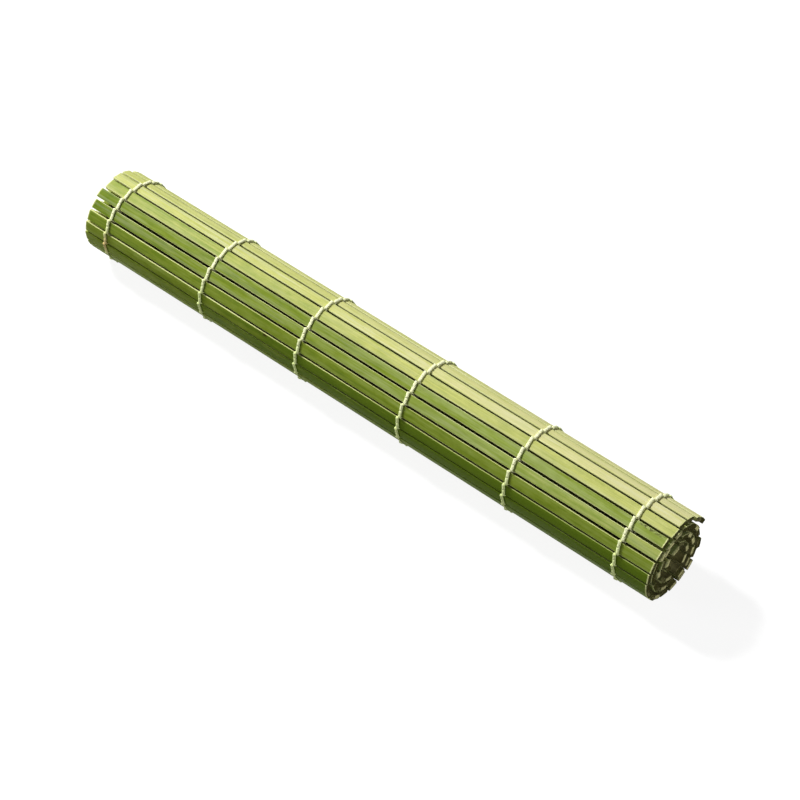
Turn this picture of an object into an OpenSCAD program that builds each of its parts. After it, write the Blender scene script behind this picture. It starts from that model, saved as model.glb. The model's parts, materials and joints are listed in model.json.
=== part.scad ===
// A bamboo sushi rolling mat, rolled up: flat slats held side by side by rows of twined cotton thread.
// X runs along the slats, Y across the roll, and Z up. The origin is the middle of the roll's footprint.
// The mat is a chain of slats. Slat 1 is the free edge on the outside, and the last slat is at the core.
// Where two slats meet, the threads bend like a hinge on the line between their inner faces.

/* [Slats] */
// Number of slats, from the free edge to the core
slat_count = 51; // [40:1:61]
// Length of a slat
slat_length = 250; // [180:5:300]
// Usual width of a slat across its green outer face
slat_width = 3.7; // [3:0.02:4.5]
// How much wider or narrower than usual a slat may be
width_scatter = 0.3; // [0:0.05:0.4]
// Thickness of a slat
slat_thickness = 1.8; // [1.5:0.02:2.2]
// How far each long side leans in towards the inner face
side_taper = 0.14; // [0.1:0.01:0.2]
// Bevel along each long edge of a slat
edge_bevel = 0.25; // [0.1:0.05:0.4]
// How far a slat's ends may stand out or in
end_scatter = 0.5; // [0:0.1:1.5]
// Seed of the uneven widths and ends
cut_seed = 507; // [1:1:9999]

/* [Threads] */
// Rows of thread along the slats
row_count = 6; // [3:1:6]
// Distance from the slats' -X ends to the middle of the first row
first_margin = 9.8; // [8:0.1:30]
// Distance from the middle of the last row to the slats' +X ends
last_margin = 13.6; // [8:0.1:30]
// Width of one flattened strand
strand_width = 1; // [0.6:0.1:1.2]
// Thickness of one flattened strand
strand_thickness = 0.38; // [0.3:0.02:0.46]
// Space between the two strands of a row
strand_space = 0.2; // [0.1:0.05:0.4]
// Play of a strand in the gap between two slats
strand_play = 0.3; // [0.26:0.02:0.5]
// Clearance between a strand and the slats' faces
thread_clearance = 0.05; // [0.03:0.01:0.1]
// How far a knot stands out from the edge of the mat
knot_depth = 1.1; // [0.8:0.1:1.4]
// Bevel round a knot's outer side
knot_bevel = 0.4; // [0.2:0.1:0.5]

/* [Roll] */
// Bend from slat to slat at the core
core_bend = 68; // [60:1:72]
// How much further the last slat hooks into the core
core_hook = 10; // [0:1:12]
// Slack between one turn and the next at the core
core_slack = 0.8; // [0.7:0.02:1.6]
// Slack between one turn and the next at the outside
outer_slack = 0.1; // [0.02:0.02:0.6]
// The slat that the roll lies on, counted from the free edge
resting_slat = 15; // [14:1:17]

/* [Hidden] */
green = [0.60, 0.68, 0.36];
cream = [0.94, 0.92, 0.82];
last = slat_count - 1;
rest = resting_slat - 1;
thread_room = thread_clearance + strand_thickness;

function slat_name(number) = str("slat_", number < 10 ? "0" : "", number);
function row_name(number) = str("thread_row_", number);

// Uneven cutting: every slat has its own width, and its ends stand a little out or in
scatters = rands(-1, 1, 2 * slat_count, cut_seed);
widths = [for (i = [0:last]) slat_width + width_scatter * scatters[i]];
end_places = [for (i = [0:last]) end_scatter * scatters[slat_count + i]];
end_middle = (max(end_places) + min(end_places)) / 2;

// The spiral starts at the core, and its radius grows by one pitch a turn
slat_gap = strand_thickness + strand_play;
links = [for (width = widths) width - 2 * side_taper + slat_gap];
function turn_pitch(i) =
    slat_thickness + 2 * thread_room + outer_slack + (core_slack - outer_slack) * i / last;
function bend_after(i, radius) = atan(links[i] / 2 / radius) + atan(links[i + 1] / 2 / radius);
radii_from_core = [
    for (
        i = last, radius = links[last] / 2 / tan(core_bend / 2);
        i >= 0;
        i = i - 1, radius = radius + (i < 0 ? 0 : turn_pitch(i) * bend_after(i, radius) / 360)
    ) radius
];
radii = [for (i = [0:last]) radii_from_core[last - i]];
bends = [for (i = [0:last - 1]) bend_after(i, radii[i]) + (i == last - 1 ? core_hook : 0)];

// Adds up a list's entries, and gives nothing, as zero is written, if there are none
function total(list, first, final, zero) =
    first > final ? zero : list[first] + total(list, first + 1, final, zero);
headings = [
    for (i = [0:last])
        i < rest ? -total(bends, i, rest - 1, 0) : total(bends, rest, i - 1, 0)
];

// Places in the plane across the roll, as [y, z]: a slat's frame has its origin on its inner face
function forward(heading) = [cos(heading), sin(heading)];
function inward(heading) = [-sin(heading), cos(heading)];
steps = [for (i = [0:last]) links[i] * forward(headings[i])];
half_rest = [links[rest] / 2, 0];
rest_height = slat_thickness + thread_room;
function hinge_from_rest(i) =
    i <= rest
        ? -half_rest - total(steps, i, rest - 1, [0, 0])
        : half_rest + total(steps, rest + 1, i - 1, [0, 0]);
chain = [for (i = [0:slat_count]) hinge_from_rest(i) + [0, rest_height]];
function placed(i, point) =
    (chain[i] + chain[i + 1]) / 2
    + point[0] * forward(headings[i])
    + point[1] * inward(headings[i]);

function slat_outline(i) =
    let (
        outer = widths[i] / 2,
        inner = outer - side_taper
    )
    [
        [-outer + edge_bevel, -slat_thickness],
        [outer - edge_bevel, -slat_thickness],
        [outer, -slat_thickness + edge_bevel],
        [inner, -edge_bevel],
        [inner - edge_bevel, 0],
        [-inner + edge_bevel, 0],
        [-inner, -edge_bevel],
        [-outer, -slat_thickness + edge_bevel]
    ];

// A strand goes over the outer face of every other slat, and under the inner face of the rest
inner_level = thread_clearance + strand_thickness / 2;
outer_level = -slat_thickness - inner_level;
function is_over(i, strand) = (i + strand) % 2 == 0;
function level(i, strand) = is_over(i, strand) ? outer_level : inner_level;
function edge_reach(i) = widths[i] / 2 + thread_clearance;
function corner_reach(i) = widths[i] / 2 + inner_level;
function under_gap(i) =
    chain[i + 1] + inward(headings[i] + bends[i] / 2) * inner_level / cos(bends[i] / 2);
function crossing(i, strand) =
    is_over(i, strand)
        ? [placed(i, [corner_reach(i), outer_level]), under_gap(i)]
        : [under_gap(i), placed(i + 1, [-corner_reach(i + 1), outer_level])];
function strand_line(strand) = concat(
    [placed(0, [-edge_reach(0), level(0, strand)])],
    [for (i = [0:last - 1]) each crossing(i, strand)],
    [placed(last, [edge_reach(last), level(last, strand)])]
);

// Both sides of a line of the given thickness, joined into one outline
function left_of(from, to) = [from[1] - to[1], to[0] - from[0]] / norm(to - from);
function mitre(line, i) =
    let (
        before = left_of(line[max(i - 1, 0)], line[max(i, 1)]),
        after = left_of(line[min(i, len(line) - 2)], line[min(i + 1, len(line) - 1)])
    )
    (before + after) / (1 + before * after);
function band(line, thickness) = concat(
    [for (i = [0:len(line) - 1]) line[i] + mitre(line, i) * thickness / 2],
    [for (i = [len(line) - 1:-1:0]) line[i] - mitre(line, i) * thickness / 2]
);
strand_outlines = [for (strand = [0, 1]) band(strand_line(strand), strand_thickness)];

// A knot closes both strands of a row beyond the edge of the first or last slat
knot_top = inner_level + strand_thickness / 2;
knot_bottom = outer_level - strand_thickness / 2;
function knot_outline(side, reach) = [
    [side * reach, knot_bottom],
    [side * (reach + knot_depth - knot_bevel), knot_bottom],
    [side * (reach + knot_depth), knot_bottom + knot_bevel],
    [side * (reach + knot_depth), knot_top - knot_bevel],
    [side * (reach + knot_depth - knot_bevel), knot_top],
    [side * reach, knot_top]
];

// The roll is centred over the origin
ys = concat(
    [for (outline = strand_outlines, point = outline) point[0]],
    [for (i = [0:last], point = slat_outline(i)) placed(i, point)[0]],
    [for (point = knot_outline(-1, edge_reach(0))) placed(0, point)[0]]
);
y_middle = (max(ys) + min(ys)) / 2;
row_step = (slat_length - first_margin - last_margin) / (row_count - 1);
function row_place(row) = first_margin - slat_length / 2 + row * row_step;
function strand_place(row, strand) = row_place(row) + (strand - 0.5) * (strand_width + strand_space);

// Extrudes an outline drawn across the roll along X, centred on x
module along_roll(x, length) {
    translate([x, -y_middle, 0])
        rotate([90, 0, 90])
            linear_extrude(height = length, center = true)
                children();
}

// Draws a slat's own outline where the slat stands in the roll
module on_slat(i) {
    translate(placed(i, [0, 0]))
        rotate(headings[i])
            children();
}

module slat(i) {
    color(green)
        along_roll(end_places[i] - end_middle, slat_length)
            on_slat(i)
                polygon(slat_outline(i));
}

module thread_row(row) {
    color(cream)
        for (strand = [0, 1])
            along_roll(strand_place(row, strand), strand_width)
                polygon(strand_outlines[strand]);
}

module knots(i, side) {
    color(cream)
        for (row = [0:row_count - 1])
            along_roll(row_place(row), 2 * strand_width + strand_space)
                on_slat(i)
                    polygon(knot_outline(side, edge_reach(i)));
}

for (i = [0:last])
    slat(i);
for (row = [0:row_count - 1])
    thread_row(row);
knots(0, -1);  // free_edge_knots
knots(last, 1);  // core_knots
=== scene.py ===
# %% [markdown]
# A bamboo sushi rolling mat, rolled up
#
# In the real mat about fifty flat slats of split green bamboo lie side by side, and six rows of cotton
# twine hold them. In each row two strands cross in every gap, so the mat bends there and nowhere else.
# Here each slat is a mesh of its own, and so is the twine in each gap, all in metres. They are built around
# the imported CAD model, which says where each slat lies and where each gap bends.

# %% Load the frame
import json
import math

import bpy
import numpy as np
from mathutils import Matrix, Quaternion, Vector

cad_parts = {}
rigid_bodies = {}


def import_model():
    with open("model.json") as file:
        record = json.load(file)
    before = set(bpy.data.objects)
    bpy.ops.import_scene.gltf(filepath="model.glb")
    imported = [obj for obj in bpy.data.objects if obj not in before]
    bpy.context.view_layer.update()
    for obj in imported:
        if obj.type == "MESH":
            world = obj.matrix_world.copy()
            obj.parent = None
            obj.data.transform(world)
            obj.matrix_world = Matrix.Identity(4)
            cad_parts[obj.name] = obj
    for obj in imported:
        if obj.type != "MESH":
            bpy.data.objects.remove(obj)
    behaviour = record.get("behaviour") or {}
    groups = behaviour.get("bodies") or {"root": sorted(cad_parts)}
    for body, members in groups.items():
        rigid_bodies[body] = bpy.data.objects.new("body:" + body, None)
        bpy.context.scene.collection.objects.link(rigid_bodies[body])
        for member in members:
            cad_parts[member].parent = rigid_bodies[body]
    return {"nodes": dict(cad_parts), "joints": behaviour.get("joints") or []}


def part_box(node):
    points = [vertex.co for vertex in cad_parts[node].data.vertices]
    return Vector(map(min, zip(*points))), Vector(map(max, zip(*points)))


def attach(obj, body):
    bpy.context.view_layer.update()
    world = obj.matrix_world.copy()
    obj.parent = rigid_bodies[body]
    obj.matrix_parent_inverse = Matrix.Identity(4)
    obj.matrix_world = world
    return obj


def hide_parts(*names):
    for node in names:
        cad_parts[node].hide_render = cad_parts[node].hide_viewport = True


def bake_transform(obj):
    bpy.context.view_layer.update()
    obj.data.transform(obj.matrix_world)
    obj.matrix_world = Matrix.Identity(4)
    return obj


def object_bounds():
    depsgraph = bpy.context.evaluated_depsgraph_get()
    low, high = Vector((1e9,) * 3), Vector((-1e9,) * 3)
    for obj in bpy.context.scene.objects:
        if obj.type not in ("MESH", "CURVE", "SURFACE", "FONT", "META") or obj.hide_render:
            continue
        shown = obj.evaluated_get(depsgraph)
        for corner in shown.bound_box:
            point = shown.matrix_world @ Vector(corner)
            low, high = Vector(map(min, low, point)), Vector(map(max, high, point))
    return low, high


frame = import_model()
cad_low, cad_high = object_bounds()
MM = 0.001

# %% [markdown]
# The camera
#
# The photograph was taken from above and from the right, with the near end of the roll at the lower right.
# The angles, the distance and the focal length were fitted to the rows of twine, to the gaps between the
# slats, to the roll's outline and to the rim of its open end. The picture is also turned by a few degrees,
# so the camera rolls about its own line of sight. The aim point lies a little right of the roll's middle
# and below it, so that no lens shift is needed.

# %% Camera
AZIMUTH = math.radians(44.5)
ELEVATION = math.radians(50.5)
PICTURE_TURN = math.radians(-5.1)
CAMERA_DISTANCE = 0.938
FRAME_PIXELS = 800
FOCAL_PIXELS = 2772
SENSOR_WIDTH = 36.0
NEAR_CLIP = 0.01
FAR_CLIP = 20
ROLL_MIDDLE = Vector((0, 0, 15.6 * MM))
AIM_RIGHT = 6.1 * MM
AIM_UP = -9.6 * MM

to_camera = Vector((
    math.sin(AZIMUTH) * math.cos(ELEVATION),
    -math.cos(AZIMUTH) * math.cos(ELEVATION),
    math.sin(ELEVATION),
))
level_right = Vector((math.cos(AZIMUTH), math.sin(AZIMUTH), 0))
level_up = to_camera.cross(level_right)
aim = ROLL_MIDDLE + AIM_RIGHT * level_right + AIM_UP * level_up
turned = Quaternion(to_camera, PICTURE_TURN)

camera = bpy.data.objects.new("camera", bpy.data.cameras.new("camera"))
bpy.context.scene.collection.objects.link(camera)
bpy.context.scene.camera = camera
camera.data.sensor_width = SENSOR_WIDTH
camera.data.lens = SENSOR_WIDTH * FOCAL_PIXELS / FRAME_PIXELS
camera.data.clip_start = NEAR_CLIP
camera.data.clip_end = FAR_CLIP
camera.location = aim + CAMERA_DISTANCE * to_camera
camera.rotation_mode = "QUATERNION"
camera.rotation_quaternion = turned @ to_camera.to_track_quat("Z", "Y")
print("camera at", [round(x, 3) for x in camera.location], "lens", round(camera.data.lens, 1), "mm")

# %% [markdown]
# Reading the slats
#
# A slat in the roll is a long bar with its own position and turn in the plane across the roll. The CAD
# mesh of a slat holds both. Its cross-section is the same on the left and the right, so the long axis of
# that section is the direction across the slat. Slats are numbered from the free edge towards the core,
# and "forward" always points to the next number. "Inward" is forward turned by a quarter turn, towards
# the pale inner face. A point of a slat is then written as x along it, u across it and v into it, with
# v = 0 on the inner face and the green skin at minus the thickness.

# %% Read each slat's place and size
SAME_PLACE_DIGITS = 7

slat_names = sorted(name for name in frame["nodes"] if name.startswith("slat_"))
row_names = sorted(name for name in frame["nodes"] if name.startswith("thread_row_"))
hinge_after = {}
for joint in frame["joints"]:
    earlier = min(joint["parent"], joint["child"])
    hinge_after[slat_names.index(earlier)] = np.array(joint["pos_m"][1:])


def read_slat(number):
    """The slat's frame in the plane across the roll, its half width, its thickness and its two ends."""
    corners = np.array([v.co for v in frame["nodes"][slat_names[number]].data.vertices])
    section = np.unique(np.round(corners[:, 1:], SAME_PLACE_DIGITS), axis=0)
    middle = section.mean(axis=0)
    forward = np.linalg.eigh(np.cov((section - middle).T))[1][:, -1]
    if number in hinge_after:
        towards = hinge_after[number] - middle
    else:
        towards = middle - hinge_after[number - 1]
    forward *= np.sign(forward @ towards)
    inward = np.array([-forward[1], forward[0]])
    across = (section - middle) @ forward
    depth = (section - middle) @ inward
    return {
        "name": slat_names[number],
        "origin": middle + inward * depth.max(),
        "forward": forward,
        "inward": inward,
        "half": across.max(),
        "thick": depth.max() - depth.min(),
        "ends": (corners[:, 0].min(), corners[:, 0].max()),
    }


slats = [read_slat(number) for number in range(len(slat_names))]
print("slats:", len(slats), "first is", round(2 * slats[0]["half"] / MM, 2), "mm wide")


def in_roll(slat, x, u, v):
    """Turns a slat's own x, u and v, which may be arrays, into points in space."""
    x, u, v = np.broadcast_arrays(x, u, v)
    plane = slat["origin"] + u[..., None] * slat["forward"] + v[..., None] * slat["inward"]
    return np.concatenate([x[..., None], plane], axis=-1)


# %% [markdown]
# A helper for meshes
#
# Slats and twine are both swept forms: a ring of points is carried along a line, each ring is joined to the
# next by a band of quads, and both ends are closed. Building the grid of points with numpy and handing it
# to Blender at once is fast and keeps every ring in our own hands. Named attributes go with the points, so
# the materials can tell the skin from the cut sides and can follow the grain of every slat.

# %% Swept mesh helper
def swept_faces(rings, sides, first=0):
    """Quads between rings of points, and one face at each end, as lists of point numbers."""
    faces = []
    for ring in range(rings - 1):
        for side in range(sides):
            a = first + ring * sides + side
            b = first + ring * sides + (side + 1) % sides
            faces.append((a, b, b + sides, a + sides))
    start = tuple(first + side for side in reversed(range(sides)))
    end = tuple(first + (rings - 1) * sides + side for side in range(sides))
    return faces, [start, end]


def mesh_object(name, points, faces, attributes):
    """A new object with smooth faces and one float or vector attribute for each name given."""
    mesh = bpy.data.meshes.new(name)
    mesh.from_pydata(np.asarray(points).tolist(), [], faces)
    mesh.polygons.foreach_set("use_smooth", [True] * len(mesh.polygons))
    for label, values in attributes.items():
        values = np.asarray(values, dtype=np.float32)
        kind = "FLOAT" if values.ndim == 1 else "FLOAT_VECTOR"
        field = "value" if values.ndim == 1 else "vector"
        mesh.attributes.new(label, kind, "POINT").data.foreach_set(field, values.ravel())
    mesh.update()
    made = bpy.data.objects.new(name, mesh)
    bpy.context.scene.collection.objects.link(made)
    return made


print("swept mesh helper ready")

# %% [markdown]
# Helpers for materials
#
# A procedural material is a small program made of nodes. A few short helpers keep that program readable.
# They add a node and fill its sockets, read what is stored on the mesh, mix two colours or two values, do
# one sum, and move a value from one range into another. Colours are written as the 0 to 255 values of a
# colour picker and turned into the linear values that the shader wants.

# %% Node helpers
def colour(red, green, blue):
    """Linear colour from the 0 to 255 values of a colour picker, by the sRGB formula."""
    def linear(value):
        share = value / 255
        return share / 12.92 if share <= 0.04045 else ((share + 0.055) / 1.055) ** 2.4
    return (linear(red), linear(green), linear(blue), 1.0)


def new_material(name):
    """A material with its node tree and its shader."""
    material = bpy.data.materials.new(name)
    material.use_nodes = True
    tree = material.node_tree
    return material, tree, tree.nodes["Principled BSDF"]


def add_node(tree, kind, inputs, **settings):
    """A new shader node. Inputs are values, or the outputs of other nodes."""
    made = tree.nodes.new("ShaderNode" + kind)
    for key, value in settings.items():
        setattr(made, key, value)
    for key, value in inputs.items():
        if isinstance(value, bpy.types.NodeSocket):
            tree.links.new(value, made.inputs[key])
        else:
            made.inputs[key].default_value = value
    return made


def attribute(tree, name, output="Fac"):
    """A number or vector that was stored on the mesh."""
    return add_node(tree, "Attribute", {}, attribute_name=name).outputs[output]


def mixed(tree, amount, first, second, blend="MIX"):
    """The first colour, with the second over it by the amount."""
    # Sockets 6 and 7 of a Mix node are its colours, and output 2 is their mix
    made = add_node(tree, "Mix", {0: amount, 6: first, 7: second}, data_type="RGBA", blend_type=blend)
    return made.outputs[2]


def mixed_value(tree, amount, first, second):
    """The first value, moved towards the second by the amount."""
    # Sockets 2 and 3 of a Mix node are its plain values, and output 0 is their mix
    return add_node(tree, "Mix", {0: amount, 2: first, 3: second}, data_type="FLOAT").outputs[0]


def maths(tree, operation, first, second=0.0, clamp=False):
    """The result of one sum."""
    made = add_node(tree, "Math", {0: first, 1: second}, operation=operation, use_clamp=clamp)
    return made.outputs[0]


def between(tree, value, low, high, to_low=0.0, to_high=1.0):
    """The value moved smoothly from the range low to high into another range."""
    made = add_node(
        tree,
        "MapRange",
        {"Value": value, "From Min": low, "From Max": high, "To Min": to_low, "To Max": to_high},
        interpolation_type="SMOOTHSTEP",
    )
    return made.outputs[0]


print("node helpers ready")

# %% [markdown]
# Noise, gloss and relief
#
# Nearly everything uneven in these materials is noise, a cloudy pattern of values round one half. Most of
# them lie between 0.3 and 0.7. It is stretched along the slat, as everything that grows in bamboo is. The
# gloss of a material is a few plain values, and its relief is a bump.

# %% Surface helpers
NOISE_MIDDLE = 0.5
NOISE_SPAN = (0.3, 0.7)


def stretched_noise(tree, vector, cells, detail=3.0, roughness=0.6):
    """Noise with the given number of cells per metre along x, y and z."""
    scaled = add_node(tree, "VectorMath", {0: vector, 1: cells}, operation="MULTIPLY")
    inputs = {"Vector": scaled.outputs[0], "Scale": 1.0, "Detail": detail, "Roughness": roughness}
    return add_node(tree, "TexNoise", inputs).outputs[0]


def swing(tree, noise, size):
    """Noise as a swing to both sides of zero."""
    return maths(tree, "MULTIPLY", maths(tree, "SUBTRACT", noise, NOISE_MIDDLE), size)


def set_finish(shader, finish):
    """Sets the shader's gloss and sheen, given as a value for each socket's name."""
    for name, value in finish.items():
        shader.inputs[name].default_value = value


def add_relief(tree, shader, height, size, strength=0.8):
    """Adds bumps of the given size that follow the height."""
    bump = add_node(tree, "Bump", {"Strength": strength, "Distance": size, "Height": height})
    tree.links.new(bump.outputs[0], shader.inputs["Normal"])


print("surface helpers ready")

# %% [markdown]
# The green skin
#
# The skin of young bamboo is green, and it fades to straw as it dries. Fibres run straight along the slat
# and show as fine streaks. A picture laid over the slats would repeat from one to the next, so the colour
# is worked out at every point instead. It comes from a ramp between straw and deep green, and the slat's
# own tone says where on the ramp it starts. Streaks and broad patches push it up and down.

# %% Skin colours
STRAW = colour(226, 222, 158)
SPRING = colour(206, 209, 122)
OLIVE = colour(188, 193, 108)
LEAF = colour(148, 166, 78)
MOSS = colour(122, 140, 40)
DEEP = colour(94, 118, 24)
TONE_STOPS = ((0.24, SPRING), (0.38, OLIVE), (0.60, LEAF), (0.84, MOSS))
FIBRE_CELLS = (30, 2600, 2600)
FIBRE_EDGES = (0.35, 0.75)
FIBRE_COVER = 0.22
STREAK_CELLS = (16, 900, 900)
STREAK_SWING = 0.55
PATCH_CELLS = (150, 500, 500)
PATCH_SWING = 0.45

skin_material, tree, shader = new_material("green_bamboo_skin")
grain = attribute(tree, "grain", "Vector")
fine = stretched_noise(tree, grain, FIBRE_CELLS)
streaks = stretched_noise(tree, grain, STREAK_CELLS, detail=4)
patches = stretched_noise(tree, grain, PATCH_CELLS)

push = maths(tree, "ADD", swing(tree, streaks, STREAK_SWING), swing(tree, patches, PATCH_SWING))
tone = maths(tree, "ADD", attribute(tree, "tone"), push, clamp=True)
ramp = add_node(tree, "ValToRGB", {"Fac": tone})
stops = ramp.color_ramp.elements
stops[0].color = STRAW
stops[1].color = DEEP
for place, shade in TONE_STOPS:
    stops.new(place).color = shade
fibres = between(tree, fine, *FIBRE_EDGES, 0.0, FIBRE_COVER)
green = mixed(tree, fibres, ramp.outputs[0], MOSS)
print("skin colour nodes:", len(tree.nodes))

# %% [markdown]
# Bloom, painted sheen and flecks
#
# Young bamboo has a milky, waxy bloom, and use rubs it off in lengthwise strokes. The wax lies on the skin
# as a film, and the same milky film is also painted sheen, the whitish gloss of the top slats laid in as
# colour. It is mixed over the green by a stretched noise, as far as the slat has bloom and painted sheen.
# Small brown flecks are the highest peaks of a finer noise. In a few places, which are marked on the mesh,
# they crowd together.

# %% Bloom, painted sheen and flecks
MILKY_BLOOM_AND_SHEEN = colour(226, 228, 196)
RUBBED_CELLS = (34, 800, 800)
FILM_AND_SHEEN_EDGES = (0.38, 0.66)
FILM_AND_SHEEN_COVER = 0.42
FLECK_BROWN = colour(60, 48, 16)
FLECK_CELLS = (900, 1300, 1300)
CROWDED_EDGES = (0.47, 0.54)
CROWDED_COVER = 0.9
RARE_EDGES = (0.745, 0.79)
RARE_COVER = 0.6

rubbed = stretched_noise(tree, grain, RUBBED_CELLS, roughness=0.7)
# The milky film is real bloom and also painted sheen, the whitish gloss of the top slats laid in as colour
film_and_sheen = maths(tree, "MULTIPLY", between(tree, rubbed, *FILM_AND_SHEEN_EDGES), attribute(tree, "bloom_and_sheen"))
bloom_and_sheen_laid = mixed(tree, maths(tree, "MULTIPLY", film_and_sheen, FILM_AND_SHEEN_COVER), green, MILKY_BLOOM_AND_SHEEN)

flecks = stretched_noise(tree, grain, FLECK_CELLS, detail=2)
crowded = maths(tree, "MULTIPLY", between(tree, flecks, *CROWDED_EDGES), attribute(tree, "spots"))
crowded = maths(tree, "MULTIPLY", crowded, CROWDED_COVER)
rare = between(tree, flecks, *RARE_EDGES, 0.0, RARE_COVER)
spotted = mixed(tree, maths(tree, "MAXIMUM", crowded, rare), bloom_and_sheen_laid, FLECK_BROWN)
print("with bloom and flecks:", len(tree.nodes))

# %% [markdown]
# Cut sides and inner face
#
# Where the skin was cut away at the long edges, the wood under it shows pale, and the same streaks go on
# through it and make the border ragged. Further down, the sawn sides carry painted shade, for the shadow in
# the narrow gaps between the slats, except near the far end, where the lamp reaches into the gaps. At the
# near end, painted shade darkens the last few millimetres of the inner faces, for the shadowed hollow of
# the open end.
# Separate materials would meet in hard lines, so one material blends all of it by the depth into the slat.

# %% Cut sides and inner face
CUT_WOOD = colour(232, 236, 172)
CUT_SHADE = colour(200, 204, 132)
# Painted shade: the dark of the narrow gaps between the slats, laid on their cut sides
GAP_PAINTED_SHADE = colour(84, 88, 34)
INNER_FACE = colour(214, 210, 150)
INNER_SHADE = colour(172, 170, 102)
# Painted shade for the dark hollow of the roll's open near end
INNER_PAINTED_SHADE = colour(70, 62, 26)
SKIN_DEPTH = -slats[0]["thick"]
SIDE_TOP = (SKIN_DEPTH + 0.30 * MM, SKIN_DEPTH + 0.65 * MM)
SIDE_FOOT = (-0.30 * MM, -0.02 * MM)
GAP_SHADE_AMOUNT = 0.85
NEAR_END_SHADE_EDGES = (0.3, 0.6)
NEAR_END_SHADE_COVER = (0.45, 0.8)
BORDER_SWING = 0.5
BORDER_EDGES = (0.40, 0.85)

depth = add_node(tree, "SeparateXYZ", {0: grain}).outputs[2]
below_edge = between(tree, depth, *SIDE_TOP)
above_face = between(tree, depth, *SIDE_FOOT, 1.0, 0.0)
side = maths(tree, "MULTIPLY", below_edge, above_face)
# Painted shade on the cut sides for the shadow in the gaps, left off near the far end, where the lamp
# reaches in
gap_shade_amount = maths(tree, "SUBTRACT", GAP_SHADE_AMOUNT, attribute(tree, "far_end_less_shade"))
darkened = maths(tree, "MULTIPLY", side, gap_shade_amount, clamp=True)

cut_wood = mixed(tree, between(tree, streaks, *NOISE_SPAN), CUT_WOOD, CUT_SHADE)
# Painted shade on the inner faces near the near end, in patches, for the shadowed hollow of the open end
near_end_painted_shade = maths(tree, "MULTIPLY", attribute(tree, "near_end_painted_shade"), between(tree, patches, *NEAR_END_SHADE_EDGES, *NEAR_END_SHADE_COVER))
inner_face = mixed(tree, near_end_painted_shade, mixed(tree, tone, INNER_FACE, INNER_SHADE), INNER_PAINTED_SHADE)
wood = mixed(tree, darkened, mixed(tree, above_face, inner_face, cut_wood), GAP_PAINTED_SHADE)
ragged = maths(tree, "ADD", attribute(tree, "skin"), swing(tree, streaks, BORDER_SWING))
covered = between(tree, ragged, *BORDER_EDGES)
tree.links.new(mixed(tree, covered, wood, spotted), shader.inputs["Base Color"])
print("with the cut sides:", len(tree.nodes))

# %% [markdown]
# Gloss and relief of the skin
#
# Waxy skin has a soft gloss, and cut wood has almost none. The gloss also breaks up along the fibres. The
# relief is real but tiny, a few hundredths of a millimetre, so it is a bump and not geometry.

# %% Skin gloss and relief
WAX_ROUGHNESS = (0.36, 0.52)
FIBRE_ROUGHNESS = 0.08
WOOD_ROUGHNESS = 0.8
STREAK_HEIGHT = 0.8
SKIN_RELIEF = 0.05 * MM

waxy = between(tree, rubbed, *NOISE_SPAN, *WAX_ROUGHNESS)
dull = maths(tree, "ADD", waxy, maths(tree, "MULTIPLY", fine, FIBRE_ROUGHNESS))
tree.links.new(mixed_value(tree, covered, WOOD_ROUGHNESS, dull), shader.inputs["Roughness"])
# The skin's own gloss is kept very low, and its whitish sheen is painted into the colour by the milky film
set_finish(shader, {"Specular IOR Level": 0.03})
height = maths(tree, "ADD", fine, maths(tree, "MULTIPLY", streaks, STREAK_HEIGHT))
add_relief(tree, shader, height, SKIN_RELIEF, strength=0.7)
print("skin material:", len(tree.nodes), "nodes")

# %% [markdown]
# The sawn ends
#
# Looked at end on, bamboo is full of dots. Each dot is a bundle of fibres, and the bundles crowd together
# under the skin and thin out towards the inside. A saw leaves the ends rough, and handling leaves them
# grey, some much darker than others. The grain coordinates say how deep and how far across a point
# lies, so the dots can follow them, and each slat's end has a tone of its own.

# %% Sawn ends
END_WOOD = colour(240, 236, 170)
END_DARK = colour(62, 60, 20)
# Dark of the fibre dots, and also the painted shade along the edges of the ends
END_FIBRE_AND_SHADE = colour(36, 34, 12)
BUNDLE_CELLS = (1, 3600, 3600)
BUNDLE_DEPTHS = (SKIN_DEPTH, -0.2 * MM)
BUNDLE_SIZES = (0.58, 0.30)
BUNDLE_COVER = 0.5
FAR_END_PALER = 0.5
DIRT_CELLS = (1, 800, 800)
DIRT_SHIFT = (0.12, -0.2)
END_RELIEF = 0.06 * MM

end_material, tree, shader = new_material("bamboo_sawn_end")
grain = attribute(tree, "grain", "Vector")
across, depth = add_node(tree, "SeparateXYZ", {0: grain}).outputs[1:3]
far_end_less_shade = attribute(tree, "far_end_less_shade")
scaled = add_node(tree, "VectorMath", {0: grain, 1: BUNDLE_CELLS}, operation="MULTIPLY").outputs[0]
dots = add_node(tree, "TexVoronoi", {"Vector": scaled, "Scale": 1.0, "Randomness": 0.9}).outputs[0]
bundle = maths(tree, "LESS_THAN", dots, between(tree, depth, *BUNDLE_DEPTHS, *BUNDLE_SIZES))

# The far end's sawn ends are painted paler, and the near end's, left darker, are painted shade
tone = maths(tree, "ADD", attribute(tree, "end_tone"), maths(tree, "MULTIPLY", far_end_less_shade, FAR_END_PALER))
dirt = between(tree, stretched_noise(tree, grain, DIRT_CELLS), *NOISE_SPAN, *DIRT_SHIFT)
sawn = mixed(tree, maths(tree, "ADD", tone, dirt, clamp=True), END_DARK, END_WOOD)
dotted = mixed(tree, maths(tree, "MULTIPLY", bundle, BUNDLE_COVER), sawn, END_FIBRE_AND_SHADE)
set_finish(shader, {"Roughness": 0.85, "Specular IOR Level": 0.05})
add_relief(tree, shader, dots, END_RELIEF)
print("end colour nodes:", len(tree.nodes))

# %% [markdown]
# Edges of the ends
#
# Painted shade darkens the edges of each sawn end, for the shadow in the narrow gaps between the ends,
# and less of it lies on the far end, which the lamp reaches. The green skin shows there as a thin rim.
# Both could be modelled, but they are only colour, and they follow how far a point lies from the middle
# of the end.

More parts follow.
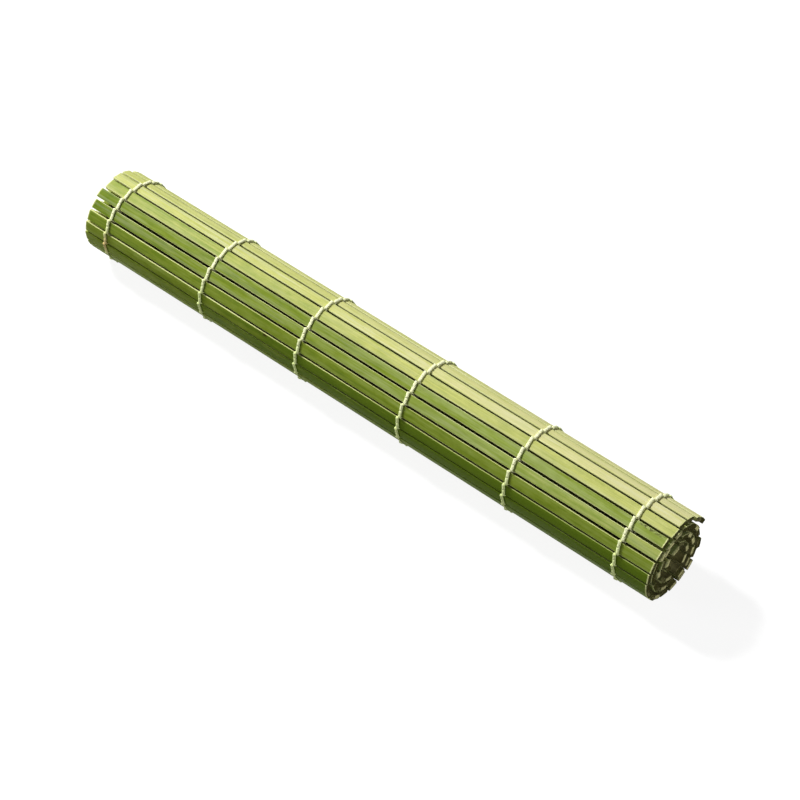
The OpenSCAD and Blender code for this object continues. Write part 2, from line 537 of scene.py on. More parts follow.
# %% Edges of the ends
END_SKIN = colour(112, 128, 50)
ACROSS_SHADE_BAND = (1.2 * MM, 1.8 * MM)
DEPTH_SHADE_BAND = (0.5 * MM, 0.9 * MM)
EDGE_SHADE_COVER = 0.95
FAR_END_LESS_EDGE_SHADE = 0.75
RIM_DEPTHS = (SKIN_DEPTH + 0.02 * MM, SKIN_DEPTH + 0.20 * MM)
RIM_COVER = 0.7

# Painted shade along the edges of each sawn end, for the shadow between the ends, with less at the far end
shade_across = between(tree, maths(tree, "ABSOLUTE", across), *ACROSS_SHADE_BAND)
from_middle = maths(tree, "ABSOLUTE", maths(tree, "SUBTRACT", depth, SKIN_DEPTH / 2))
shade_in_depth = between(tree, from_middle, *DEPTH_SHADE_BAND)
edge_shade_amount = maths(tree, "SUBTRACT", EDGE_SHADE_COVER, maths(tree, "MULTIPLY", far_end_less_shade, FAR_END_LESS_EDGE_SHADE))
edge_painted_shade = maths(tree, "MULTIPLY", maths(tree, "MAXIMUM", shade_across, shade_in_depth), edge_shade_amount)
edge_shaded = mixed(tree, edge_painted_shade, dotted, END_FIBRE_AND_SHADE)
rim = between(tree, depth, *RIM_DEPTHS, RIM_COVER, 0.0)
tree.links.new(mixed(tree, rim, edge_shaded, END_SKIN), shader.inputs["Base Color"])
print("end material:", len(tree.nodes), "nodes")

# %% [markdown]
# The slats
#
# A slat is split from a bamboo stem. Its outer face keeps the waxy green skin and a trace of the stem's
# roundness. Its sides and its inner face are cut, so they are pale and dull, and the sides lean in. The
# long edges are a little round from sanding and wear. A box with a bevel would give none of that, so the
# cross-section is drawn point by point: a crowned skin, two round edges, two leaning sides and a flat
# inner face. Each point also says how much skin it carries, from 1 to 0.

# %% Cross-section of a slat
CROWN = 0.07 * MM
EDGE_RADIUS = 0.26 * MM
SIDE_TAPER = 0.14 * MM
INNER_BEVEL = 0.14 * MM
EDGE_STEPS = 4
CROWN_SHARES = (0.35, 0.7, 1.0)


def half_section(half, thick):
    """Points (u, v, skin) from the middle of the skin round one edge to the middle of the inner face."""
    points = [(0.0, -thick, 1.0)]
    flat_half = half - EDGE_RADIUS
    for share in CROWN_SHARES:
        points.append((share * flat_half, -thick + CROWN * share**2, 1.0))
    for step in range(1, EDGE_STEPS + 1):
        angle = math.radians(90) * step / EDGE_STEPS
        u = flat_half + EDGE_RADIUS * math.sin(angle)
        v = -thick + CROWN + EDGE_RADIUS * (1 - math.cos(angle))
        points.append((u, v, 1.0 - step / EDGE_STEPS))
    inner_half = half - SIDE_TAPER
    return points + [
        ((half + inner_half) / 2, -thick / 2, 0.0),
        (inner_half, -INNER_BEVEL, 0.0),
        (inner_half - INNER_BEVEL, 0.0, 0.0),
        (inner_half / 2, 0.0, 0.0),
        (0.0, 0.0, 0.0),
    ]


def whole_section(half, thick):
    """The closed ring: one half, and the other half mirrored on the way back."""
    one = half_section(half, thick)
    other = [(-u, v, skin) for u, v, skin in reversed(one[1:-1])]
    return np.array(one + other)


section_sides = len(whole_section(slats[0]["half"], slats[0]["thick"]))
print("points round a slat:", section_sides)

# %% [markdown]
# Uneven slats
#
# No two slats are cut alike. Along its length each one wanders a tenth of a millimetre from side to side,
# grows a little wider and narrower, and bows out of the roll and back. The wandering is what makes the dark
# gaps of the photograph swell and fade. It is a sum of a few slow waves with random phases, from a
# generator with a fixed seed, so every run gives the same mat. Some slats of the outer turns are
# also made a little fuller or slimmer, which closes or opens their gaps. The ends are cut slightly aslant
# and chamfered by a hair, because a knife-sharp end never catches the light.

# %% Points of a slat
STATIONS = 60
END_RINGS = np.array([0, 0.08, 0.12, 0.28, 0.55]) * MM
END_CHAMFER = 0.08 * MM
END_TILT = 0.10 * MM
SIDE_WANDER = 0.10 * MM
WIDTH_WANDER = 0.05 * MM
LIFT_WANDER = 0.03 * MM
WAVE_LENGTHS = (260 * MM, 110 * MM, 47 * MM, 19 * MM)
WAVE_WEIGHTS = (0.5, 0.3, 0.2, 0.1)
FULLER = (0, 0.09, -0.12, 0.02, 0.09, 0, 0, 0, 0.12, 0.15, 0.12, 0.10, 0.10, 0.10, 0.10, 0.10, 0.08)


def slow_waves(x, random):
    """A slow, smooth wander along x, within about minus one and one."""
    total = np.zeros_like(x)
    for length, weight in zip(WAVE_LENGTHS, WAVE_WEIGHTS):
        total += weight * np.sin(2 * math.pi * (x / length + random.random()))
    return total


def ring_places(slat):
    """Where the rings lie along a slat: close together at its ends, and evenly spaced between them."""
    start, end = slat["ends"]
    evenly = np.linspace(start, end, STATIONS + 2)[1:-1]
    return np.concatenate([start + END_RINGS, evenly, end - END_RINGS[::-1]])


def slat_points(number, random):
    """A slat's points, ring by ring, and the grain of each: its place in the slat before that wanders."""
    slat = slats[number]
    x = ring_places(slat)
    u, v, _ = whole_section(slat["half"], slat["thick"]).T
    middle_depth = -slat["thick"] / 2
    wander = SIDE_WANDER * slow_waves(x, random)
    fuller = FULLER[number] * MM if number < len(FULLER) else 0.0
    wider = 1 + (WIDTH_WANDER * slow_waves(x, random) + fuller) / slat["half"]
    wider[[0, -1]] *= 1 - END_CHAMFER / slat["half"]
    lift = LIFT_WANDER * slow_waves(x, random)
    thicker = np.ones_like(x)
    thicker[[0, -1]] = 1 - 2 * END_CHAMFER / slat["thick"]
    grid_u = wander[:, None] + u * wider[:, None]
    grid_v = lift[:, None] + middle_depth + (v - middle_depth) * thicker[:, None]
    tilt = END_TILT * random.uniform(-1, 1, 2)
    grid_x = np.repeat(x[:, None], len(u), axis=1)
    grid_x[:len(END_RINGS)] += tilt[0] * u / slat["half"]
    grid_x[-len(END_RINGS):] += tilt[1] * u / slat["half"]
    return in_roll(slat, grid_x, grid_u, grid_v), np.stack(np.broadcast_arrays(grid_x, u, v), axis=-1)


print("one slat has", section_sides * len(ring_places(slats[0])), "points")

# %% [markdown]
# Skin along the edges
#
# The knife takes the skin off the long edges, more on one slat than on the next. Where it took little,
# green goes on round the edge and down the side. The slats in view have the share of cut that the
# photograph shows, and on two of them it gets less towards the near end. The saw has torn the skin off the
# last quarter of a millimetre at both ends.

# %% Skin along the edges
SEEN_EDGE_CUT = (0.8, 0.8, 1, 1, 1, 1, 1, 1, 0.9, 0.25, 0.25, 0.3)
OTHER_EDGE_CUT = (0.4, 1.0)
NEAR_END_CUT = {"slat_08": 0.8, "slat_09": 0.35}
BARE_SIDE_SHARE = 0.3
END_SKIN_KEPT = (0, 0, 0, 0.15, 1)


def skin_cover(number, random):
    """How much skin the points of a slat carry, ring by ring, from 1 to 0."""
    slat = slats[number]
    x = ring_places(slat)
    _, v, skin = whole_section(slat["half"], slat["thick"]).T
    edge_cut = SEEN_EDGE_CUT[number] if number < len(SEEN_EDGE_CUT) else random.uniform(*OTHER_EDGE_CUT)
    near_cut = NEAR_END_CUT.get(slat["name"], edge_cut)
    cut = np.interp(x, slat["ends"], (edge_cut, near_cut))[:, None]
    on_side = np.where(v < -BARE_SIDE_SHARE * slat["thick"], 1 - cut, 0.0)
    kept = np.ones_like(x)
    kept[:len(END_RINGS)] = END_SKIN_KEPT
    kept[-len(END_RINGS):] = END_SKIN_KEPT[::-1]
    return np.maximum(skin**cut, on_side) * kept[:, None]


print("slats with their own cut:", len(SEEN_EDGE_CUT))

# %% [markdown]
# Marks of use, and painted shade at the ends
#
# Brown flecks crowd on a few slats, on the side towards the free edge. The open near end of the roll lies
# in shadow, so its inner faces get painted shade, and the far end, which the lamp reaches, gets less
# painted shade on its sides and its sawn ends. Such marks have no outline, so each is a smooth hump along
# the slat,
# 1 in its middle and near 0 at twice its reach.

# %% One slat
GRAIN_SHIFT = 0.37
FADING_LENGTH = 100 * MM
FAR_END_REACH = 11 * MM
NEAR_END_SHADE_REACH = 3.8 * MM
FLECKED = {"slat_06": (118 * MM, 4.5 * MM), "slat_09": (-39 * MM, 3 * MM), "slat_20": (60 * MM, 4 * MM)}
FLECKED_SIDE_EDGE = -0.8 * MM


def hump(x, middle, reach):
    """1 at the middle, and falling off smoothly to both sides."""
    return np.exp(-(((x - middle) / reach) ** 2))


def flecked_at(name, grain):
    """How crowded the flecks are at the points of the slat with this name."""
    if name not in FLECKED:
        return np.zeros(grain.shape[:2])
    return hump(grain[..., 0], *FLECKED[name]) * (grain[..., 1] < FLECKED_SIDE_EDGE)


def build_slat(number, tone, fading, bloom_and_sheen, end_tone, random):
    """One slat as an object. Its tone goes from 0, pale and yellow, to 1, deep green, and fades along x."""
    slat = slats[number]
    points, grain = slat_points(number, random)
    skin = skin_cover(number, random)
    along = grain[..., 0]
    marks = {
        "skin": skin,
        "spots": flecked_at(slat["name"], grain),
        "tone": tone + fading * along / FADING_LENGTH,
        "bloom_and_sheen": np.full(skin.shape, bloom_and_sheen),
        # These two marks say where painted shade is left off, at the far end, and where it is laid, at the
        # near end
        "far_end_less_shade": hump(along, slat["ends"][0], FAR_END_REACH),
        "near_end_painted_shade": hump(along, slat["ends"][1], NEAR_END_SHADE_REACH),
        "end_tone": np.full(skin.shape, end_tone),
    }
    own_grain = grain + [number * GRAIN_SHIFT, 0, 0]
    attributes = {"grain": own_grain.reshape(-1, 3), **{name: mark.ravel() for name, mark in marks.items()}}
    faces, ends = swept_faces(*skin.shape)
    made = mesh_object("bamboo_" + slat["name"], points.reshape(-1, 3), faces + ends, attributes)
    made.data.materials.append(skin_material)
    made.data.materials.append(end_material)
    for face in made.data.polygons[-2:]:
        face.material_index = 1
        face.use_smooth = False
    return made


print("slats with crowded flecks:", *FLECKED)

# %% [markdown]
# Tones
#
# The slats in the photograph are not one green. Those near the top of the roll are pale and yellowish, the
# next ones are fresh green and the lowest ones are deeper. Part of that is light, and part is the bamboo.
# The tones of the slats in view are given in order from the free edge, with how much each one deepens
# over 10 cm towards the near end and how much bloom and painted sheen it has. The rest are random. The
# sawn ends of the outer turn are given dark tones, and more than half of the others are pale.

# %% Tones and slats
SLAT_SEED = 11
SEEN_TONES = (0.26, 0.20, 0.16, 0.15, 0.40, 0.78, 0.73, 0.82, 1.04, 1.04, 0.9, 0.7)
SEEN_FADING = (-0.06, -0.08, -0.14, -0.14, -0.08, -0.10, -0.18, -0.05, 0.22, 0.20, 0.1, 0.0)
# Bloom of each slat in view, which also carries its painted sheen
SEEN_BLOOM_AND_SHEEN = (0.2, 0.3, 0.35, 0.9, 0.35, 0.3, 0.35, 0.05, 0.0, 0.0, 0.1, 0.2)
OTHER_TONES = (0.15, 0.85)
OTHER_FADING = (-0.1, 0.1)
OTHER_BLOOM_AND_SHEEN = (0.0, 0.8)
PALE_END_SHARE = 0.6
PALE_END_TONES = (0.7, 1.15)
DARK_END_TONES = (-0.1, 0.2)

random = np.random.default_rng(SLAT_SEED)
others = len(slats) - len(SEEN_TONES)
tones = [*SEEN_TONES, *random.uniform(*OTHER_TONES, others)]
fadings = [*SEEN_FADING, *random.uniform(*OTHER_FADING, others)]
bloom_and_sheen_levels = [*SEEN_BLOOM_AND_SHEEN, *random.uniform(*OTHER_BLOOM_AND_SHEEN, others)]
is_pale = random.random(len(slats)) < PALE_END_SHARE
is_pale[:len(SEEN_TONES)] = False
pale_tones = random.uniform(*PALE_END_TONES, len(slats))
dark_tones = random.uniform(*DARK_END_TONES, len(slats))
end_tones = np.where(is_pale, pale_tones, dark_tones)

slat_pieces = []
for number, finish in enumerate(zip(tones, fadings, bloom_and_sheen_levels, end_tones)):
    slat_pieces.append(build_slat(number, *finish, random))
for piece, slat in zip(slat_pieces, slats):
    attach(piece, slat["name"])
    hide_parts(slat["name"])
print("slat pieces:", len(slat_pieces), "faces in one:", len(slat_pieces[0].data.polygons))

# %% [markdown]
# The twine
#
# Each row is two strands of cotton twine that are twined round the slats. A strand runs over the skin of
# one slat, down through the gap, under the inner face of the next slat, and up again. Its partner does the
# opposite. On the skin every stitch leans the same way, from the far side of the row to its near side, and
# that gives the row its zigzag look. Where a strand passes a gap it is squeezed flat between two slats.
#
# A curve object with a round bevel would be quick, but the twist of the yarn and the squeeze would be lost.
# So the line of each strand is laid through a few chosen points a slat, smoothed, and swept with a ring of
# three lobes, one for each yarn. The lobes turn as they go, which draws the twist. On the open outside of
# the roll the twine is full. Where it is pressed, between two turns or under the roll, it is flat.

# %% Route of a strand
STITCH_SLANT = 0.36 * MM
TURN_IN = 0.40 * MM
TURN_SHARE = 0.75
CORNER_OUT = 0.22 * MM
CORNER_UP = 0.27 * MM
PRESSED_HALF = 0.17 * MM
FREE_HALF = 0.30 * MM
GAP_HALF = 0.24 * MM
FIRST_PRESSED_SLAT = 10
JITTER = 0.05 * MM


def goes_over(number, strand):
    """Strand 0 goes over the skin of slats 0, 2, 4 and so on, and strand 1 over the others."""
    return (number + strand) % 2 == 0


def route_on_slat(number, strand, row_x, random):
    """The points that a strand goes through on one slat, each with half the twine's thickness there."""
    slat = slats[number]
    over = goes_over(number, strand)
    half_thick = FREE_HALF if over and number < FIRST_PRESSED_SLAT else PRESSED_HALF
    side = -1 if over else 1
    face = -slat["thick"] if over else 0.0
    edge = slat["half"] if over else slat["half"] - SIDE_TAPER
    lean = STITCH_SLANT if over else -STITCH_SLANT
    level = face + side * half_thick
    corner = face + side * CORNER_UP
    found = []
    for u, v, share, half in (
        (-edge - CORNER_OUT, corner, -1.0, GAP_HALF),
        (-edge + TURN_IN, level, -TURN_SHARE, half_thick),
        (0.0, level, 0.0, half_thick),
        (edge - TURN_IN, level, TURN_SHARE, half_thick),
        (edge + CORNER_OUT, corner, 1.0, GAP_HALF),
    ):
        x = row_x + lean * share + JITTER * random.uniform(-1, 1)
        found.append((in_roll(slat, x, u, v), half))
    return found


def strand_route(strand, row_x, random):
    """All points of a strand from the free edge to the core, with one more in the middle of each gap."""
    found = []
    for number in range(len(slats)):
        here = route_on_slat(number, strand, row_x, random)
        if found:
            before, after = found[-1][0], here[0][0]
            found.append(((before + after) / 2, GAP_HALF))
        found.extend(here)
    return found


print("a strand goes through", len(strand_route(0, 0.0, np.random.default_rng(0))), "points")

# %% [markdown]
# Smoothing and sweeping
#
# A Catmull-Rom curve goes through all of its points without overshooting much, and its tangent at each
# point follows from the two neighbours, so the pieces of twine can be cut at the middle of each slat and
# still meet exactly. The twist is measured along the whole strand before the cut, for the same reason.

# %% Sweep a strand
CURVE_STEPS = 3
LOBES = 3
RING_SIDES = 12
LOBE_DEPTH = 0.08
RING_POWER = 0.8
STRAND_HALF_WIDTH = 0.60 * MM
TWIST_LENGTH = 4.4 * MM


def smooth_line(values, steps):
    """A Catmull-Rom curve through the rows of values, with the given steps between two rows."""
    values = np.asarray(values)
    padded = np.vstack([2 * values[0] - values[1], values, 2 * values[-1] - values[-2]])
    before, start, end, after = padded[:-3], padded[1:-2], padded[2:-1], padded[3:]
    samples = []
    for t in np.arange(steps) / steps:
        bent = (
            2 * start
            + (end - before) * t
            + (2 * before - 5 * start + 4 * end - after) * t**2
            + (3 * start - before - 3 * end + after) * t**3
        )
        samples.append(bent / 2)
    curve = np.stack(samples, axis=1).reshape(-1, values.shape[1])
    return np.vstack([curve, values[-1]])


def unit(rows):
    """The same directions with length 1."""
    return rows / np.linalg.norm(rows, axis=-1, keepdims=True)


def squarer(value):
    """Moves a sine or cosine outwards, so that a ring gets a flatter top and fuller sides."""
    return np.sign(value) * np.abs(value) ** RING_POWER


def twisted_rings(centre, wide, thin, half_wide, half_thin):
    """Three-lobed rings round a line, with the place along and round the twine, and the grooves' depth."""
    run = np.concatenate([[0], np.cumsum(np.linalg.norm(np.diff(centre, axis=0), axis=1))])
    angle = np.linspace(0, 2 * math.pi, RING_SIDES, endpoint=False)
    turned = angle[None, :] - 2 * math.pi * run[:, None] / TWIST_LENGTH
    lobe = np.cos(LOBES * turned)
    reach = 1 - LOBE_DEPTH + LOBE_DEPTH * lobe
    across = (half_wide[:, None] * reach * squarer(np.cos(angle)))[..., None]
    up = (half_thin[:, None] * reach * squarer(np.sin(angle)))[..., None]
    points = centre[:, None] + across * wide[:, None] + up * thin[:, None]
    lay = np.stack([np.broadcast_to(run[:, None], lobe.shape), np.cos(turned), np.sin(turned)], axis=-1)
    return points, lay, (1 - lobe) / 2


def strand_rings(route):
    """The rings of a strand, which is flattened against the slats."""
    rows = [[*point, half] for point, half in route]
    line = smooth_line(rows, CURVE_STEPS)
    centre, half = line[:, :3], line[:, 3]
    along = unit(np.gradient(centre, axis=0))
    wide = unit(np.array([1.0, 0, 0]) - along[:, :1] * along)
    half_wide = np.full(len(line), STRAND_HALF_WIDTH)
    return twisted_rings(centre, wide, np.cross(along, wide), half_wide, half)


test_points, _, _ = strand_rings(strand_route(0, 0.0, np.random.default_rng(0)))
print("rings in a strand:", len(test_points))

# %% [markdown]
# Cotton
#
# Cotton twine is three yarns twisted together, off-white, and without gloss. The ring of each strand
# already has three lobes, so the grooves between the yarns are real. The groove attribute darkens them a
# little more with painted shade, and a fine noise that follows the twist draws single fibres. Stains and a
# painted tint for the green light bounced onto the lower twine come from the mesh. A little sheen stands
# for the fuzz that makes cotton look soft at its edges.

# %% Cotton material
CREAM = colour(252, 254, 214)
CREAM_SHADE = colour(236, 238, 170)
GROOVE_PAINTED_SHADE = colour(166, 172, 96)
STAIN = colour(206, 164, 104)
PAINTED_BOUNCE_TINT = colour(232, 243, 206)
YARN_CELLS = (2600, 3.2, 3.2)
YARN_EDGES = (0.35, 0.7)
YARN_COVER = 0.5
UNEVEN_CELLS = (140, 0.5, 0.5)
UNEVEN_EDGES = (0.5, 0.75)
UNEVEN_COVER = 0.3
GROOVE_EDGES = (0.6, 1.0)
GROOVE_SHADE_COVER = 0.3
COTTON_RELIEF = 0.05 * MM

cotton_material, tree, shader = new_material("cotton_twine")
lay = attribute(tree, "lay", "Vector")
fibres = stretched_noise(tree, lay, YARN_CELLS, roughness=0.7)
uneven = stretched_noise(tree, lay, UNEVEN_CELLS, detail=2, roughness=0.5)
yarn = mixed(tree, between(tree, fibres, *YARN_EDGES, 0.0, YARN_COVER), CREAM, CREAM_SHADE)
darkened = mixed(tree, between(tree, uneven, *UNEVEN_EDGES, 0.0, UNEVEN_COVER), yarn, CREAM_SHADE)
# Painted bounce light: a green-yellow tint multiplied over the lower twine
painted_bounce = mixed(tree, attribute(tree, "painted_bounce"), darkened, PAINTED_BOUNCE_TINT, blend="MULTIPLY")
# Painted shade, darker in the grooves between the yarns
groove = between(tree, attribute(tree, "groove"), *GROOVE_EDGES, 0.0, GROOVE_SHADE_COVER)
groove_shaded = mixed(tree, groove, painted_bounce, GROOVE_PAINTED_SHADE)
stained = mixed(tree, attribute(tree, "stain"), groove_shaded, STAIN)
tree.links.new(stained, shader.inputs["Base Color"])
set_finish(shader, {"Roughness": 0.9, "Specular IOR Level": 0.2})
set_finish(shader, {"Sheen Weight": 0.1, "Sheen Roughness": 0.5})
add_relief(tree, shader, fibres, COTTON_RELIEF)
print("cotton material:", len(tree.nodes), "nodes")

# %% [markdown]
# Laying the strands
#
# The rows of twine don't stand quite evenly in the photograph, so each one is moved a fraction of a
# millimetre from its place in the CAD. Both strands of a row are laid along the whole mat before anything
# is cut.

# %% Lay the strands
TWINE_SEED = 23
ROW_DRIFT = (0.25 * MM, 0.9 * MM, 0.1 * MM, 0.45 * MM, 0.45 * MM, 0.4 * MM)
ROW_X = [sum(c[0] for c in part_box(name)) / 2 + drift for name, drift in zip(row_names, ROW_DRIFT)]

random = np.random.default_rng(TWINE_SEED)
strands = []
for row_x in ROW_X:
    for strand in (0, 1):
        strands.append(strand_rings(strand_route(strand, row_x, random)))
print("strands:", len(strands))

# %% [markdown]
# Marks on the twine
#
# One row has a tea-coloured stain on the roll's front. Down the outside of the roll, below its top, a
# painted green-yellow tint stands for the light that the green slats bounce onto the twine. A formula over
# the points in space marks every piece at once, and leaves no seam where the twine is cut.

# %% Marks on the twine
STAIN_STRENGTH = 0.75
STAIN_MIDDLE = np.array([ROW_X[0], cad_low[1], 17.5 * MM])
STAIN_REACH = np.array([3, 5, 4]) * MM
BOUNCE_HEIGHTS = (22 * MM, 28.5 * MM)
OUTSIDE_RADII = (13.6 * MM, 14.6 * MM)


def stain_at(points):
    """How stained the twine is."""
    distance = np.linalg.norm((points - STAIN_MIDDLE) / STAIN_REACH, axis=1)
    return STAIN_STRENGTH * np.exp(-distance**2)


def painted_bounce_at(points):
    """How much painted bounce tint the twine gets: fully down the roll's outside, and none on its top or
    within it.
    """
    radius = np.hypot(points[:, 1], points[:, 2] - ROLL_MIDDLE.z)
    outside = np.interp(radius, OUTSIDE_RADII, (0, 1))
    return outside * np.interp(points[:, 2], BOUNCE_HEIGHTS, (1, 0))


def twine_mesh(name, tubes):
    """One object from tubes, each given as its rings of points, their lay and their grooves."""
    faces, first = [], 0
    for points, _, _ in tubes:
        quads, ends = swept_faces(len(points), RING_SIDES, first)
        faces += quads + ends
        first += len(points) * RING_SIDES
    points = np.vstack([points.reshape(-1, 3) for points, _, _ in tubes])
    lay = np.vstack([lay.reshape(-1, 3) for _, lay, _ in tubes])
    groove = np.concatenate([groove.ravel() for _, _, groove in tubes])
    marks = {"stain": stain_at(points), "painted_bounce": painted_bounce_at(points)}
    made = mesh_object(name, points, faces, {"lay": lay, "groove": groove, **marks})
    made.data.materials.append(cotton_material)
    return made


print("stain at", np.round(STAIN_MIDDLE / MM, 1), "mm")

# %% [markdown]
# Cutting the twine at the slats
#
# When the mat unrolls, the twine on a slat moves with that slat, and only the bit in the gap bends. So the
# twine is cut into one piece for each gap, from the middle of one slat to the middle of the next. Such a
# piece holds all six rows, and both ends of a piece lie where the next piece begins.

# %% Cut the twine
POINTS_A_SLAT = 6
MIDDLE_POINT = 2
GAP_BLEND = 0.55 * MM


def twine_piece(name, first_ring, last_ring):
    """One object with the same stretch of all strands."""
    return twine_mesh(name, [[part[first_ring:last_ring + 1] for part in strand] for strand in strands])


def middle_ring(number):
    """The number of the ring at the middle of a slat."""
    return (number * POINTS_A_SLAT + MIDDLE_POINT) * CURVE_STEPS


twine_pieces = []
for number in range(len(slats) - 1):
    name = f"twine_{number + 1:02d}_{number + 2:02d}"
    piece = twine_piece(name, middle_ring(number), middle_ring(number + 1))
    chord = slats[number]["forward"] + slats[number + 1]["forward"]
    chord *= GAP_BLEND / np.linalg.norm(chord)
    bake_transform(piece)
    twine_pieces.append(piece)

first_end = twine_piece("twine_free_edge", 0, middle_ring(0))
last_end = twine_piece("twine_core_edge", middle_ring(len(slats) - 1), len(strands[0][0]) - 1)
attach(first_end, slats[0]["name"])
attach(last_end, slats[-1]["name"])
twine_pieces += [first_end, last_end]
for piece in twine_pieces:
    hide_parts(*row_names)
print("twine pieces:", len(twine_pieces), "faces in one:", len(twine_pieces[0].data.polygons))

# %% [markdown]
# Round twine
#
# Knots and their tails aren't pressed flat, so they are swept with a round ring. Each ring needs a
# direction for its side. It is carried from ring to ring, because a fixed one would turn over where the
# line does.

# %% Round twine
FIRST_SIDE = (0.3, 0.5, 0.8)


def round_tube(line, half):
    """Rings of round twine along any line. The half thickness is one number for each point."""
    along = unit(np.gradient(line, axis=0))
    wide = np.zeros_like(along)
    last = unit(np.cross(along[0], FIRST_SIDE))
    for ring, direction in enumerate(along):
        last = unit(last - (last @ direction) * direction)
        wide[ring] = last
    return twisted_rings(line, wide, np.cross(along, wide), half, half)


print("round twine ready")

# %% [markdown]
# The knots
#
# At each edge of the mat the two strands of a row are tied off in a small overhand knot, and the ends are
# cut short. An overhand knot pulled tight has the form of a trefoil, and a trefoil has a simple
# formula, so a tube along that curve gives the crossings of a real knot. Two tails stick out of each knot,
# along the edge to both sides, and spread a little at their cut ends.

# %% Knots
KNOT_SEED = 31
KNOT_STANDS_OUT = 0.75 * MM
KNOT_SIZE = np.array([0.36, 0.26, 0.34]) * MM
KNOT_SCATTER = (0.9, 1.05)
KNOT_TURN = 2 * math.pi * 0.96
KNOT_STEPS = 40
KNOT_HALF = 0.40 * MM
TAIL_LENGTH = 3.6 * MM
TAIL_SCATTER = (0.7, 1.1)
TAIL_START = 0.3 * MM
TAIL_ALONG = 0.75
TAIL_OUT = 0.35
TAIL_LIFT = 0.5 * MM
TAIL_SAG = 0.15
TAIL_POINTS = 5
TAIL_HALF = 0.34 * MM
TAIL_SPREAD = ((0, 0.75, 1), (1, 1, 1.25))


def knot_tube(slat, middle, random):
    """The trefoil of a knot round its middle, which is given as x, u and v."""
    t = np.linspace(0, KNOT_TURN, KNOT_STEPS) + random.uniform(0, 2 * math.pi)
    size = KNOT_SIZE * random.uniform(*KNOT_SCATTER, 3)
    x = middle[0] + size[0] * (np.sin(t) + 2 * np.sin(2 * t))
    u = middle[1] - size[1] * np.sin(3 * t)
    v = middle[2] + size[2] * (np.cos(t) - 2 * np.cos(2 * t))
    return round_tube(in_roll(slat, x, u, v), np.full(KNOT_STEPS, KNOT_HALF))


def tail_tube(slat, middle, side, way, random):
    """A tail of a knot. Side is -1 before the slat and 1 after it, and way is -1 or 1 along x."""
    share = np.linspace(0, 1, TAIL_POINTS)
    length = TAIL_LENGTH * random.uniform(*TAIL_SCATTER)
    x = middle[0] + way * (TAIL_START + length * TAIL_ALONG * share)
    u = middle[1] + side * length * TAIL_OUT * share * (1 - share / 2)
    v = middle[2] + TAIL_LIFT * random.uniform(-1, 1) * share - TAIL_SAG * length * share**2
    line = smooth_line(in_roll(slat, x, u, v), CURVE_STEPS)
    spread = np.interp(np.linspace(0, 1, len(line)), *TAIL_SPREAD)
    return round_tube(line, TAIL_HALF * spread)


random = np.random.default_rng(KNOT_SEED)
for name, number, side in (("free_edge_knots", 0, -1), ("core_knots", len(slats) - 1, 1)):
    slat = slats[number]
    tubes = []
    for row_x in ROW_X:
        middle = (row_x, side * (slat["half"] + KNOT_STANDS_OUT), -slat["thick"] / 2)
        tubes.append(knot_tube(slat, middle, random))
        for way in (-1, 1):
            tubes.append(tail_tube(slat, middle, side, way, random))
    piece = twine_mesh("tied_" + name, tubes)
    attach(piece, slats[number]["name"])
    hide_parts(name)
    print(piece.name, "faces:", len(piece.data.polygons))

# %% [markdown]
# The floor
#
# The photograph shows plain white. A floor that only glowed would leave the roll hanging in nothing, so the
# floor is a dull paper that keeps the shadow. For the camera, and for gloss that reflects it, a plain glow
# is added, which lifts the paper to the photograph's white and leaves the shadow soft. The paper itself is
# grey and not white, or it would throw so much light back up that the roll's underside would go flat.

# %% Floor
FLOOR_HALF = 3.0
FLOOR_HEIGHT = -0.05 * MM
FLOOR_GREY = 0.25
FLOOR_GLOW = 0.88
WHITE = (1, 1, 1, 1)

corners = [(-1, -1), (1, -1), (1, 1), (-1, 1)]
floor_points = [(FLOOR_HALF * x, FLOOR_HALF * y, FLOOR_HEIGHT) for x, y in corners]
floor = mesh_object("floor", floor_points, [(0, 1, 2, 3)], {})


def seen_directly(tree):
    """1 for rays from the camera and from glossy or clear surfaces, and 0 for the rest."""
    path = add_node(tree, "LightPath", {})
    shiny = maths(tree, "MAXIMUM", path.outputs["Is Glossy Ray"], path.outputs["Is Transmission Ray"])
    return maths(tree, "MAXIMUM", path.outputs["Is Camera Ray"], shiny)


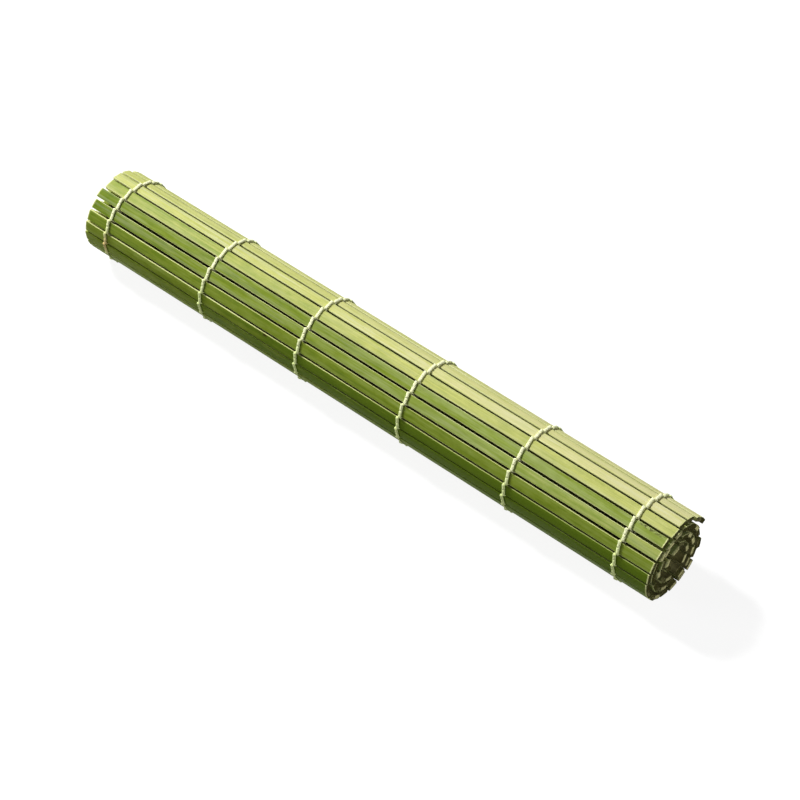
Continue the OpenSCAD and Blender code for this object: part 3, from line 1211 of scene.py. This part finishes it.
floor_material, tree, _ = new_material("white_floor")
tree.nodes.clear()
paper = add_node(tree, "BsdfDiffuse", {"Color": (FLOOR_GREY, FLOOR_GREY, FLOOR_GREY, 1)})
glow = maths(tree, "MULTIPLY", seen_directly(tree), FLOOR_GLOW)
lift = add_node(tree, "Emission", {"Color": WHITE, "Strength": glow})
surface = add_node(tree, "AddShader", {0: paper.outputs[0], 1: lift.outputs[0]})
add_node(tree, "OutputMaterial", {"Surface": surface.outputs[0]})
floor.data.materials.append(floor_material)
print("floor at", FLOOR_HEIGHT / MM, "mm")

# %% [markdown]
# The light
#
# The shadows in the photograph say where the light stood. Every row of twine throws its shadow towards the
# near end, and the top of the roll is bright while the lower front is dim, so the main lamp is well above
# the roll and towards its far end. The twine still throws a shadow low on the front, so a weak, low lamp
# stands in front on the same side. Some of the sawn ends show pale in the dark open end, so another weak
# lamp shines into it from the near end. A faint light from all sides fills the rest. The lamps are kept at
# the level at which a colour renders about as it is written.

# %% Light
KEY_DIRECTION = Vector((-0.74, 0.07, 0.66))
KEY_DISTANCE = 2.2
KEY_SIZE = 0.40
KEY_POWER = 68
FILL_DIRECTION = Vector((-0.70, -0.62, 0.30))
FILL_DISTANCE = 1.6
FILL_SIZE = 0.7
FILL_POWER = 6.0
END_LIGHT_DIRECTION = Vector((0.96, -0.12, 0.22))
END_LIGHT_POWER = 7.0
SKY_LEVEL = 0.08

scene = bpy.context.scene
scene.view_settings.view_transform = "Standard"
world = bpy.data.worlds.new("studio")
scene.world = world
world.use_nodes = True
tree = world.node_tree
background = tree.nodes["Background"]
background.inputs["Color"].default_value = WHITE
level = mixed_value(tree, seen_directly(tree), SKY_LEVEL, 1.0)
tree.links.new(level, background.inputs["Strength"])


def area_light(name, direction, distance, size, power):
    """A soft square lamp that points at the roll."""
    lamp = bpy.data.lights.new(name, "AREA")
    lamp.size = size
    lamp.energy = power
    made = bpy.data.objects.new(name, lamp)
    scene.collection.objects.link(made)
    made.location = ROLL_MIDDLE + distance * direction.normalized()
    made.rotation_mode = "QUATERNION"
    made.rotation_quaternion = direction.to_track_quat("Z", "Y")
    return made


area_light("key", KEY_DIRECTION, KEY_DISTANCE, KEY_SIZE, KEY_POWER)
area_light("fill", FILL_DIRECTION, FILL_DISTANCE, FILL_SIZE, FILL_POWER)
area_light("end_light", END_LIGHT_DIRECTION, FILL_DISTANCE, FILL_SIZE, END_LIGHT_POWER)
